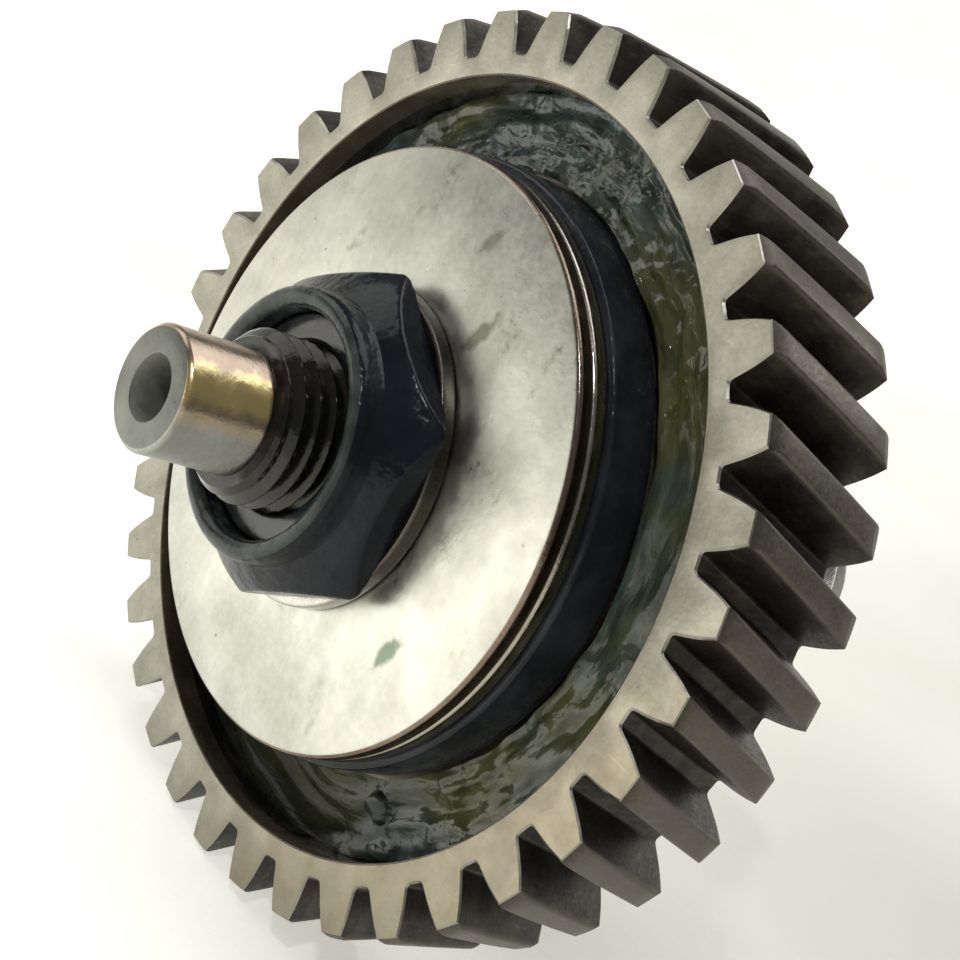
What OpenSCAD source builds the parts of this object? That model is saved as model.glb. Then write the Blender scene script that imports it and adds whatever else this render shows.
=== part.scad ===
// Slip-clutch gear on its shaft.
// A wide helical gear runs on a bronze bush and is gripped between two friction rings.
// Disc springs under a lock nut press the rings together, so the gear slips when overloaded.
// Axis along Y, nut and front journal towards -Y, origin at the middle of the gear.
// The lengths below are measured along the axis, and stations ending in _at are
// distances forward of the middle of the gear.

/* [Main gear] */
// Number of helical teeth
gear_teeth = 36; // [24:1:48]
// Diameter over the tooth tips
gear_tip_d = 77.4; // [76:0.1:78]
// Radial height of the chamfer at both ends of the tooth tips
tip_chamfer = 0.45; // [0.3:0.05:0.8]
// Length of that chamfer along the shaft
tip_chamfer_len = 1.1; // [0.5:0.1:1.5]
// Diameter at the bottom of the tooth spaces
gear_root_d = 69.1; // [67:0.1:70]
// Face width of the teeth
gear_face = 14; // [13:0.5:16]
// Right-hand helix angle at the tips, in degrees
helix_angle = 20.8; // [0:0.1:30]
// Width of a tooth at its tip
tooth_tip_w = 2.1; // [1.8:0.1:2.8]
// Width of a tooth at its root
tooth_root_w = 4.5; // [4:0.1:5]
// Angle of one tooth centre on the front face, in degrees
tooth_phase = 2.4; // [0:0.1:10]
// Diameter of the front recess that holds the clutch
recess_d = 65.2; // [62:0.1:66]
// Depth of the front recess
recess_depth = 4.6; // [4:0.1:5]
// Diameter of the shallow rear recess
rear_recess_d = 58; // [55:0.5:62]
// Depth of the rear recess
rear_recess_depth = 2; // [1.5:0.1:3]
// Diameter of the bore that holds the bush
gear_bore_d = 26; // [25:0.5:27]
// Height of the grease where it lies against the recess wall
grease_h = 2.6; // [1:0.1:3]

/* [Shaft] */
// Diameter of the front journal
journal_d = 10; // [8:0.5:11]
// Station of the front end of the journal
journal_end_at = 31; // [29:0.1:34]
// Diameter of the hole in the front end
end_hole_d = 4.8; // [4:0.1:6]
// Depth of the hole in the front end
end_hole_depth = 14; // [6:0.5:16]
// Outside diameter of the thread
thread_d = 13.8; // [13.5:0.1:14]
// Thread pitch
thread_pitch = 1.5; // [1.5:0.25:2]
// Station of the front end of the thread
thread_end_at = 23.2; // [22:0.1:25]
// Diameter of the running journal under the gear
running_d = 20; // [19:0.5:21]
// Diameter of the part that drives the pressure plate
drive_d = 18; // [17:0.5:18.5]
// Width across the two driving flats
drive_flats = 15; // [14.5:0.1:16]
// Diameter of the rear flange
flange_d = 52; // [50:0.5:54]
// Thickness of the rear flange
flange_t = 5; // [4:0.5:6]
// Diameter of the rear part of the shaft
rear_d = 15; // [15:0.5:15]
// Distance from the flange to the shoulder that stops the pinion
shoulder_len = 1.4; // [1:0.1:2]
// Station of the rear end of the shaft
rear_end_at = -46.8; // [-48:0.1:-44]

/* [Clutch] */
// Thickness of each friction ring
friction_t = 1.6; // [1.4:0.1:1.8]
// Outside diameter of the friction rings
friction_d = 49; // [46:0.5:51]
// Inside diameter of the friction rings
friction_bore_d = 28; // [27:0.5:32]
// Diameter of the pressure plate
plate_d = 51.2; // [51:0.1:52]
// Thickness of the pressure plate
plate_t = 4.7; // [4.5:0.1:5]
// Height of the boss on the plate that centres the springs
plate_boss_h = 3.2; // [2:0.1:3.4]
// Outside diameter of the disc springs
spring_d = 50.1; // [49:0.1:51]
// Inside diameter of the disc springs
spring_bore_d = 25.4; // [25:0.1:26]
// Thickness of each disc spring
spring_t = 1.5; // [1.3:0.05:1.6]
// Height of the spring cone at the set preload
spring_cone = 1.1; // [1:0.05:1.3]
// Diameter of the washer under the nut
washer_d = 27.2; // [26:0.1:29]
// Thickness of the washer
washer_t = 1.5; // [1.2:0.1:1.8]
// Width across the flats of the nut
nut_flats = 25.6; // [24:0.1:27]
// Height of the nut
nut_h = 5.9; // [5.6:0.1:6.5]
// Diameter of the round crown of the nut
nut_crown_d = 22.2; // [21:0.1:23]
// Diameter of the mouth in the crown
nut_mouth_d = 18.5; // [18:0.1:19.5]
// Depth of the nylon insert below the top of the crown
insert_depth = 2.2; // [1.5:0.1:2.6]
// Thickness of the nylon insert
insert_t = 1.6; // [1.2:0.1:2]

/* [Rear pinion and bearing] */
// Number of pinion teeth
pinion_teeth = 14; // [13:1:16]
// Pinion module
pinion_module = 2; // [1.8:0.1:2]
// Width of the pinion
pinion_w = 14; // [12:0.5:14]
// Width and height of the pinion key
key_size = 4; // [4:1:5]
// Length of the pinion key
key_len = 10; // [8:0.5:10]
// Distance from the shoulder to the front end of the key
key_offset = 2; // [1:0.5:3]
// Length of the spacer between the pinion and the bearing
spacer_len = 2; // [1:0.5:2]
// Outside diameter of the ball bearing
bearing_d = 28; // [28:1:28]
// Width of the ball bearing
bearing_w = 7; // [7:1:7]
// Number of balls in the bearing
bearing_balls_n = 11; // [9:1:11]
// Diameter of each bearing ball
ball_d = 3.96; // [3.6:0.02:4]

/* [Hidden] */
$fn = 96;

// Clearances: face to face, running shaft in bore, and a gap between loose pieces
touch_gap = 0.02;
running_gap = 0.03;
loose_gap = 0.3;
// Overshoot that lets a cutting tool pass clean through a face
cut = 1;
// Tooth flanks: height and taper of the foot point, and bulge at half height, as shares
foot_rise = 0.12;
foot_taper = 0.2;
flank_bulge = 0.03;
// Half width of the tip land of a pinion tooth, in modules
pinion_tip_share = 0.36;

// Stations of the gear faces
gear_front_at = gear_face / 2;
gear_rear_at = -gear_face / 2;
web_front_at = gear_front_at - recess_depth;
web_rear_at = gear_rear_at + rear_recess_depth;
// Twist of the teeth over the face width
tooth_twist = gear_face * tan(helix_angle) / (gear_tip_d / 2) * 180 / PI;

// Stations of the clutch stack, from the web forwards
plate_rear_at = web_front_at + friction_t + touch_gap;
plate_front_at = plate_rear_at + plate_t;
plate_boss_at = plate_front_at + plate_boss_h;
springs_rear_at = plate_front_at + touch_gap;
front_spring_at = springs_rear_at + spring_t + touch_gap;
washer_rear_at = front_spring_at + spring_t + spring_cone + touch_gap;
nut_rear_at = washer_rear_at + washer_t + touch_gap;
nut_front_at = nut_rear_at + nut_h;
drive_end_at = washer_rear_at - 2 * loose_gap;

// Stations of the rear stack, from the web backwards
flange_front_at = web_rear_at - friction_t - 2 * touch_gap;
flange_rear_at = flange_front_at - flange_t;
rear_shoulder_at = flange_rear_at - shoulder_len;
pinion_rear_at = rear_shoulder_at - pinion_w - touch_gap;
key_rear_at = rear_shoulder_at - key_offset - key_len;
bearing_front_at = pinion_rear_at - spacer_len;
bearing_mid_at = bearing_front_at - bearing_w / 2;
bearing_rear_at = bearing_front_at - bearing_w;

// Nut recess in front of the nylon insert
insert_front_at = nut_front_at - insert_depth;
insert_rear_at = insert_front_at - insert_t;

// Share of the key that sits in the shaft, and the radius of the bottom of the keyway
key_sink = 0.55;
key_floor_r = rear_d / 2 - key_sink * key_size;

// Bearing race radii
ball_track_r = (bearing_d + rear_d) / 4;
groove_r = ball_d / 2 + 2 * running_gap;
land_share = 0.34;
land_offset = land_share * ball_d;
inner_land_r = ball_track_r - land_offset;
outer_land_r = ball_track_r + land_offset;

// Sheet shields of the bearing: half thickness and distance of the middle from the bearing face
shield_half_t = 0.2;
shield_depth = 0.55;

// Circlip behind the bearing and its groove
circlip_t = 1;
circlip_gap = 0.1;
circlip_groove_depth = 0.35;
circlip_rear_at = bearing_rear_at - circlip_gap - circlip_t;

// Turns a piece drawn along +Z so that its front points along -Y
module along_shaft() {
    rotate([90, 0, 0]) children();
}

// Solid of revolution between two stations
module disc(r, rear_at, front_at) {
    translate([0, 0, rear_at]) cylinder(r = r, h = front_at - rear_at);
}

// Flat ring between two stations
module ring(outer_r, inner_r, rear_at, front_at) {
    difference() {
        disc(outer_r, rear_at, front_at);
        disc(inner_r, rear_at - cut, front_at + cut);
    }
}

// Ring with small chamfers on both outer edges
module chamfered_disc(r, rear_at, front_at, chamfer) {
    rotate_extrude()
        polygon([[0, rear_at], [r - chamfer, rear_at], [r, rear_at + chamfer],
                 [r, front_at - chamfer], [r - chamfer, front_at], [0, front_at]]);
}

// One point of a gear outline at a radius, a half width across the tooth and a tooth angle
function tooth_point(r, half_w, a) = [r * cos(a) - half_w * sin(a), r * sin(a) + half_w * cos(a)];

// Points of one tooth, from the root on one side over the tip to the root on the other
function tooth(root_r, tip_r, root_half, tip_half, a) =
    let (height = tip_r - root_r,
         foot_r = root_r + foot_rise * height,
         foot_half = root_half - foot_taper * (root_half - tip_half),
         mid_r = root_r + height / 2,
         mid_half = (root_half + tip_half) / 2 + flank_bulge * height) [
    tooth_point(root_r, -root_half, a),
    tooth_point(foot_r, -foot_half, a),
    tooth_point(mid_r, -mid_half, a),
    tooth_point(tip_r, -tip_half, a),
    tooth_point(tip_r, tip_half, a),
    tooth_point(mid_r, mid_half, a),
    tooth_point(foot_r, foot_half, a),
    tooth_point(root_r, root_half, a)];

module toothed_outline(teeth, root_r, tip_r, root_half, tip_half) {
    polygon([for (i = [0:teeth - 1]) each tooth(root_r, tip_r, root_half, tip_half, i * 360 / teeth)]);
}

module main_gear() {
    tip_r = gear_tip_d / 2;
    end_r = tip_r - tip_chamfer;
    // Teeth are drawn this much too tall and then trimmed round
    trim = 0.2;
    color("#8a857c") along_shaft() difference() {
        intersection() {
            translate([0, 0, gear_rear_at])
                rotate(tooth_phase - tooth_twist)
                linear_extrude(height = gear_face, twist = -tooth_twist, slices = 5)
                toothed_outline(gear_teeth, gear_root_d / 2, tip_r + trim,
                                tooth_root_w / 2, tooth_tip_w / 2);
            // Round tip surface with a chamfer at each end
            rotate_extrude()
                polygon([[0, gear_rear_at], [end_r, gear_rear_at], [tip_r, gear_rear_at + tip_chamfer_len],
                         [tip_r, gear_front_at - tip_chamfer_len], [end_r, gear_front_at],
                         [0, gear_front_at]]);
        }
        disc(recess_d / 2, web_front_at, gear_front_at + cut);
        disc(rear_recess_d / 2, gear_rear_at - cut, web_rear_at);
        disc(gear_bore_d / 2, gear_rear_at - cut, gear_front_at + cut);
    }
}

module gear_bush() {
    color("#a9783a") along_shaft()
        ring(gear_bore_d / 2, running_d / 2 + running_gap, web_rear_at, web_front_at);
}

// Grease packed round the clutch on the floor of the recess
module grease_ring() {
    inner_r = plate_d / 2 + loose_gap;
    outer_r = recess_d / 2 - touch_gap;
    floor_at = web_front_at + touch_gap;
    top_at = floor_at + grease_h;
    // The surface sags between the wall and the clutch, and stands highest at the clutch
    sag = 0.4;
    lift = 0.6;
    edge_w = 1.2;
    color("#2e3426") along_shaft() rotate_extrude()
        polygon([[inner_r, floor_at], [outer_r, floor_at], [outer_r, top_at],
                 [outer_r - edge_w, top_at - sag], [inner_r + edge_w, top_at - sag / 2],
                 [inner_r, top_at + lift]]);
}

// Shaft with its flange, running journal, driving flats, thread and front journal
module clutch_shaft() {
    journal_chamfer = 0.3;
    rear_chamfer = 0.8;
    flange_chamfer = 0.6;
    end_countersink = 0.15;
    centre_hole_r = 2.4;
    centre_hole_depth = 4;
    thread_depth = 0.61 * thread_pitch;
    thread_turns = 3;
    // Half width of a 60 degree groove at the outer end of its cutting tool
    groove_flare = (thread_depth + cut) * tan(30);
    color("#77756f") along_shaft() difference() {
        union() {
            disc(rear_d / 2, rear_end_at + rear_chamfer, flange_rear_at);
            translate([0, 0, rear_end_at])
                cylinder(r1 = rear_d / 2 - rear_chamfer, r2 = rear_d / 2, h = rear_chamfer);
            disc(running_d / 2, rear_shoulder_at, web_front_at + friction_t - loose_gap);
            chamfered_disc(flange_d / 2, flange_rear_at, flange_front_at, flange_chamfer);
            intersection() {
                disc(drive_d / 2, web_front_at, drive_end_at);
                translate([-drive_flats / 2, -drive_d, web_front_at])
                    cube([drive_flats, 2 * drive_d, drive_end_at - web_front_at]);
            }
            disc(thread_d / 2, drive_end_at, thread_end_at - thread_depth);
            translate([0, 0, thread_end_at - thread_depth])
                cylinder(r1 = thread_d / 2, r2 = thread_d / 2 - thread_depth, h = thread_depth);
            disc(journal_d / 2, thread_end_at - cut, journal_end_at - journal_chamfer);
            translate([0, 0, journal_end_at - journal_chamfer])
                cylinder(r1 = journal_d / 2, r2 = journal_d / 2 - journal_chamfer, h = journal_chamfer);
        }
        // V-grooves stand for the thread ahead of the nut insert
        for (i = [0:thread_turns - 1])
            translate([0, 0, insert_front_at + thread_pitch * (i + 0.5)])
            rotate_extrude()
            polygon([[thread_d / 2 - thread_depth, 0], [thread_d / 2 + cut, -groove_flare],
                     [thread_d / 2 + cut, groove_flare]]);
        disc(end_hole_d / 2, journal_end_at - end_hole_depth, journal_end_at + cut);
        translate([0, 0, journal_end_at - end_countersink])
            cylinder(r1 = end_hole_d / 2, r2 = end_hole_d / 2 + 2 * end_countersink,
                     h = 2 * end_countersink);
        translate([0, 0, rear_end_at - touch_gap])
            cylinder(r1 = centre_hole_r, r2 = 0, h = centre_hole_depth);
        // Keyway for the pinion
        translate([-key_size / 2, key_floor_r, key_rear_at]) cube([key_size, rear_d, key_len]);
        // Groove for the circlip
        ring(rear_d, rear_d / 2 - circlip_groove_depth, circlip_rear_at - circlip_gap / 2,
             bearing_rear_at - circlip_gap / 2);
    }
}

module front_friction_ring() {
    color("#5b4a35") along_shaft()
        ring(friction_d / 2, friction_bore_d / 2,
             web_front_at + touch_gap, web_front_at + friction_t);
}

module rear_friction_ring() {
    color("#5b4a35") along_shaft()
        ring(friction_d / 2, friction_bore_d / 2,
             web_rear_at - friction_t - touch_gap, web_rear_at - touch_gap);
}

// Pressure plate with the boss that centres the springs, sliding on the driving flats
module pressure_plate() {
    fit_gap = 0.05;
    edge_chamfer = 0.5;
    boss_r = spring_bore_d / 2 - loose_gap;
    color("#17181c") along_shaft() difference() {
        union() {
            chamfered_disc(plate_d / 2, plate_rear_at, plate_front_at, edge_chamfer);
            disc(boss_r, plate_rear_at, plate_boss_at);
        }
        intersection() {
            disc(drive_d / 2 + fit_gap, plate_rear_at - cut, plate_boss_at + cut);
            translate([-drive_flats / 2 - fit_gap, -drive_d, plate_rear_at - cut])
                cube([drive_flats + 2 * fit_gap, 2 * drive_d, plate_boss_at - plate_rear_at + 2 * cut]);
        }
    }
}

// Coned spring whose rim rests at a station and whose middle stands forward of it
module disc_spring(rim_at) {
    inner_r = spring_bore_d / 2;
    outer_r = spring_d / 2;
    lip = 0.25;
    rotate_extrude()
        polygon([[inner_r, rim_at + spring_cone], [outer_r - lip, rim_at], [outer_r, rim_at + lip],
                 [outer_r, rim_at + spring_t - lip], [outer_r - lip, rim_at + spring_t],
                 [inner_r, rim_at + spring_cone + spring_t]]);
}

module rear_disc_spring() {
    color("#b3b0a6") along_shaft() disc_spring(springs_rear_at);
}

module front_disc_spring() {
    color("#c4c1b6") along_shaft() disc_spring(front_spring_at);
}

module nut_washer() {
    edge_chamfer = 0.25;
    color("#9a9890") along_shaft() difference() {
        chamfered_disc(washer_d / 2, washer_rear_at, washer_rear_at + washer_t, edge_chamfer);
        disc(thread_d / 2 + loose_gap, washer_rear_at - cut, nut_rear_at + cut);
    }
}

// Hexagon nut with a round crown that holds the nylon insert
module clutch_nut() {
    corner_r = nut_flats / sqrt(3);
    crown_r = nut_crown_d / 2;
    // The corners are turned down from near the seat to a small fillet at the foot of the crown
    corner_cut = 0.2;
    cone_start_at = nut_rear_at + 0.3;
    cone_end_at = nut_rear_at + 3.4;
    fillet = 0.4;
    // Rounded lip of the crown
    lip_w = 1;
    lip_edge = 0.35;
    color("#14161a") along_shaft() difference() {
        intersection() {
            rotate(30) translate([0, 0, nut_rear_at]) cylinder(r = corner_r, h = nut_h, $fn = 6);
            rotate_extrude()
                polygon([[0, nut_rear_at], [corner_r - corner_cut, nut_rear_at],
                         [corner_r - corner_cut, cone_start_at], [crown_r + fillet, cone_end_at],
                         [crown_r, cone_end_at + fillet], [crown_r, nut_front_at - lip_w],
                         [crown_r - lip_edge, nut_front_at - lip_edge],
                         [crown_r - lip_w, nut_front_at], [0, nut_front_at]]);
        }
        disc(thread_d / 2 + touch_gap, nut_rear_at - cut, nut_front_at + cut);
        disc(nut_mouth_d / 2, insert_rear_at, nut_front_at + cut);
    }
}

module nut_insert() {
    color("#20262c") along_shaft()
        ring(nut_mouth_d / 2, thread_d / 2 + touch_gap, insert_rear_at, insert_front_at);
}

module output_pinion() {
    // Standard tooth proportions: addendum 1 module, dedendum 1.25 modules
    root_r = pinion_module * (pinion_teeth - 2.5) / 2;
    tip_r = pinion_module * (pinion_teeth + 2) / 2;
    tip_half = pinion_module * pinion_tip_share;
    color("#8b8880") along_shaft() difference() {
        translate([0, 0, pinion_rear_at]) linear_extrude(height = pinion_w)
            toothed_outline(pinion_teeth, root_r, tip_r, pinion_module, tip_half);
        disc(rear_d / 2 + touch_gap, pinion_rear_at - cut, rear_shoulder_at + cut);
        translate([-key_size / 2 - touch_gap, 0, pinion_rear_at - cut])
            cube([key_size + 2 * touch_gap, key_floor_r + key_size + 4 * touch_gap,
                  pinion_w + 2 * cut]);
    }
}

module pinion_key() {
    color("#6f7378") along_shaft()
        translate([-key_size / 2 + touch_gap, key_floor_r + touch_gap, key_rear_at + touch_gap])
        cube([key_size - 2 * touch_gap, key_size, key_len - 2 * touch_gap]);
}

module bearing_spacer() {
    color("#7d7b75") along_shaft()
        ring(inner_land_r, rear_d / 2 + touch_gap,
             bearing_front_at + touch_gap, pinion_rear_at - touch_gap);
}

// Torus that cuts the ball groove of both races
module ball_groove() {
    translate([0, 0, bearing_mid_at]) rotate_extrude()
        translate([ball_track_r, 0]) circle(r = groove_r, $fn = 48);
}

module bearing_inner_ring() {
    edge_chamfer = 0.2;
    color("#c9c9c6") along_shaft() difference() {
        chamfered_disc(inner_land_r, bearing_rear_at, bearing_front_at, edge_chamfer);
        disc(rear_d / 2 + touch_gap, bearing_rear_at - cut, bearing_front_at + cut);
        ball_groove();
    }
}

module bearing_outer_ring() {
    edge_chamfer = 0.4;
    color("#c9c9c6") along_shaft() difference() {
        chamfered_disc(bearing_d / 2, bearing_rear_at, bearing_front_at, edge_chamfer);
        disc(outer_land_r, bearing_rear_at - cut, bearing_front_at + cut);
        ball_groove();
    }
}

module bearing_balls() {
    color("#dcdcda") along_shaft() for (i = [0:bearing_balls_n - 1])
        rotate(i * 360 / bearing_balls_n)
        translate([ball_track_r, 0, bearing_mid_at]) sphere(r = ball_d / 2);
}

module bearing_cage() {
    cage_half_w = 2.4;
    cage_half_t = 0.6;
    pocket_r = ball_d / 2 + 0.1;
    color("#b09a62") along_shaft() difference() {
        ring(ball_track_r + cage_half_t, ball_track_r - cage_half_t,
             bearing_mid_at - cage_half_w, bearing_mid_at + cage_half_w);
        // Round pockets drilled towards the axis
        for (i = [0:bearing_balls_n - 1])
            rotate(i * 360 / bearing_balls_n)
            translate([inner_land_r, 0, bearing_mid_at])
            rotate([0, 90, 0]) cylinder(r = pocket_r, h = outer_land_r - inner_land_r, $fn = 48);
    }
}

// Sheet shield pressed into the outer ring, clear of the inner ring
module bearing_shield(mid_at) {
    ring(outer_land_r, inner_land_r + loose_gap / 2, mid_at - shield_half_t, mid_at + shield_half_t);
}

module bearing_front_shield() {
    color("#a8a8a4") along_shaft() bearing_shield(bearing_front_at - shield_depth);
}

module bearing_rear_shield() {
    color("#a8a8a4") along_shaft() bearing_shield(bearing_rear_at + shield_depth);
}

// Open retaining ring with two eared ends
module bearing_circlip() {
    inner_r = rear_d / 2 - circlip_groove_depth + touch_gap;
    band = 1.7;
    ear_r = 1.6;
    ear_a = 16;
    ear_at_r = inner_r + ear_r + 0.4;
    eye_r = 0.7;
    slot_half = 1;
    color("#34363a") along_shaft() difference() {
        union() {
            disc(inner_r + band, circlip_rear_at, circlip_rear_at + circlip_t);
            for (s = [-1, 1])
                rotate(-90 + s * ear_a) translate([ear_at_r, 0, circlip_rear_at])
                cylinder(r = ear_r, h = circlip_t, $fn = 48);
        }
        disc(inner_r, circlip_rear_at - cut, circlip_rear_at + circlip_t + cut);
        translate([-slot_half, -rear_d, circlip_rear_at - cut])
            cube([2 * slot_half, rear_d, circlip_t + 2 * cut]);
        for (s = [-1, 1])
            rotate(-90 + s * ear_a) translate([ear_at_r, 0, circlip_rear_at - cut])
            cylinder(r = eye_r, h = circlip_t + 2 * cut, $fn = 32);
    }
}

main_gear();
gear_bush();
grease_ring();
clutch_shaft();
front_friction_ring();
rear_friction_ring();
pressure_plate();
rear_disc_spring();
front_disc_spring();
nut_washer();
clutch_nut();
nut_insert();
output_pinion();
pinion_key();
bearing_spacer();
bearing_inner_ring();
bearing_outer_ring();
bearing_balls();
bearing_cage();
bearing_front_shield();
bearing_rear_shield();
bearing_circlip();
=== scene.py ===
"""Slip-clutch gear: the looks of the part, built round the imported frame.

Lengths in the mesh code are millimetres. A station is a distance forward of the middle of
the gear, so a point at radius r, angle a and station s lies at (r cos a, -s, r sin a).
"""

import math

import bmesh
import bpy
import numpy as np
from mathutils import Matrix, Vector, noise


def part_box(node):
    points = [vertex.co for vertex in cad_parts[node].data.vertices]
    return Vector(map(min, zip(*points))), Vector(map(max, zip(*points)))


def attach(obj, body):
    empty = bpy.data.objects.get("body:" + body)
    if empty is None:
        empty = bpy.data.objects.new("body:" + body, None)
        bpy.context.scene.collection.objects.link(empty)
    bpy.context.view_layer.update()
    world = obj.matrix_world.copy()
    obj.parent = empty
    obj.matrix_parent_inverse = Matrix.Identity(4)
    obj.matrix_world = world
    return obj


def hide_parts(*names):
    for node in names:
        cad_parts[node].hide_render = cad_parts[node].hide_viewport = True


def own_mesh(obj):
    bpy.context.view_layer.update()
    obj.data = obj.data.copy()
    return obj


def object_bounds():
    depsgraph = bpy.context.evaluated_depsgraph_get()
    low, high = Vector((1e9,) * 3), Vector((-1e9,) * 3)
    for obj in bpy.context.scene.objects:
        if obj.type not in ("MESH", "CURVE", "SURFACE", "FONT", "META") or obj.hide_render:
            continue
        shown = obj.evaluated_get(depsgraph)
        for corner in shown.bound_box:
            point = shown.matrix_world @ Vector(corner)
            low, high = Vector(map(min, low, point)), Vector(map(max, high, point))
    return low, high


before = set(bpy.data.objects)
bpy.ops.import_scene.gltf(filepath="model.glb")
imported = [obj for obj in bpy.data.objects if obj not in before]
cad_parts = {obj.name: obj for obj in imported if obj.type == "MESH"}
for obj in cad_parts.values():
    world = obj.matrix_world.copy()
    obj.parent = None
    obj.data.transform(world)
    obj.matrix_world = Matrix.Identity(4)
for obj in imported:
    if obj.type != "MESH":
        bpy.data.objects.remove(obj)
cad_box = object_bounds()
MM = 0.001


# ---------------------------------------------------------------- sizes from the frame
class Span:
    """Front station, rear station and outer radius of a CAD node, in millimetres."""

    def __init__(self, node):
        lo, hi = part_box(node)
        self.front = -lo.y / MM
        self.rear = -hi.y / MM
        self.r = max(hi.x, -lo.x) / MM


gear = Span("main_gear")
shaft = Span("clutch_shaft")
nut = Span("clutch_nut")
insert = Span("nut_insert")
washer = Span("nut_washer")
front_spring = Span("front_disc_spring")
rear_spring = Span("rear_disc_spring")
plate = Span("pressure_plate")
front_lining = Span("front_friction_ring")
rear_lining = Span("rear_friction_ring")
grease = Span("grease_ring")
bush = Span("gear_bush")
pinion = Span("output_pinion")
spacer = Span("bearing_spacer")
inner_ring = Span("bearing_inner_ring")
outer_ring = Span("bearing_outer_ring")
front_shield = Span("bearing_front_shield")
rear_shield = Span("bearing_rear_shield")
circlip = Span("bearing_circlip")


# ---------------------------------------------------------------- mesh helpers
def to_world(r, angle, station):
    return (r * math.cos(angle) * MM, -station * MM, r * math.sin(angle) * MM)


def bevelled(points, radius, steps=4):
    """A closed (r, station) outline with its corners rounded, by one radius or one per point."""
    count = len(points)
    radii = radius if isinstance(radius, list) else [radius] * count
    out = []
    for i, here in enumerate(points):
        p = Vector(here)
        before = Vector(points[i - 1]) - p
        after = Vector(points[(i + 1) % count]) - p
        cut = min(radii[i], 0.45 * before.length, 0.45 * after.length)
        if cut < 1e-6:
            out.append(tuple(p))
            continue
        start = p + before.normalized() * cut
        end = p + after.normalized() * cut
        for k in range(steps + 1):
            t = k / steps
            out.append(tuple((1 - t) ** 2 * start + 2 * t * (1 - t) * p + t * t * end))
    return out


def piece(name, verts, faces, body, nodes, materials, face_materials=None, sharp=35):
    """A mesh object that rides on a body and stands for CAD nodes."""
    mesh = bpy.data.meshes.new(name)
    mesh.from_pydata(verts, [], faces)
    for m in materials:
        mesh.materials.append(m)
    if face_materials is not None:
        mesh.polygons.foreach_set("material_index", np.asarray(face_materials, np.int32))
    work = bmesh.new()
    work.from_mesh(mesh)
    bmesh.ops.remove_doubles(work, verts=work.verts, dist=1e-8)
    bmesh.ops.recalc_face_normals(work, faces=work.faces)
    work.to_mesh(mesh)
    work.free()
    mesh.shade_smooth()
    mesh.set_sharp_from_angle(angle=math.radians(sharp))
    obj = bpy.data.objects.new(name, mesh)
    bpy.context.scene.collection.objects.link(obj)
    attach(obj, body)
    if nodes:
        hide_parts(*nodes)
    return obj


def grid_faces(rings, segments, closed=True):
    """Quads between rings of vertices that each go once round the axis."""
    faces = []
    for i in range(rings if closed else rings - 1):
        a, b = i * segments, ((i + 1) % rings) * segments
        for k in range(segments):
            n = (k + 1) % segments
            faces.append((a + k, a + n, b + n, b + k))
    return faces


def lathe(name, outline, body, nodes, materials, segments=192, by_edge=None, sharp=35):
    """A solid of revolution of a closed (r, station) outline that stays off the axis."""
    verts = [
        to_world(r, 2 * math.pi * k / segments, s) for r, s in outline for k in range(segments)
    ]
    faces = grid_faces(len(outline), segments)
    chosen = None
    if by_edge:
        chosen = [by_edge(*outline[i // segments]) for i in range(len(faces))]
    return piece(name, verts, faces, body, nodes, materials, chosen, sharp)


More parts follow.
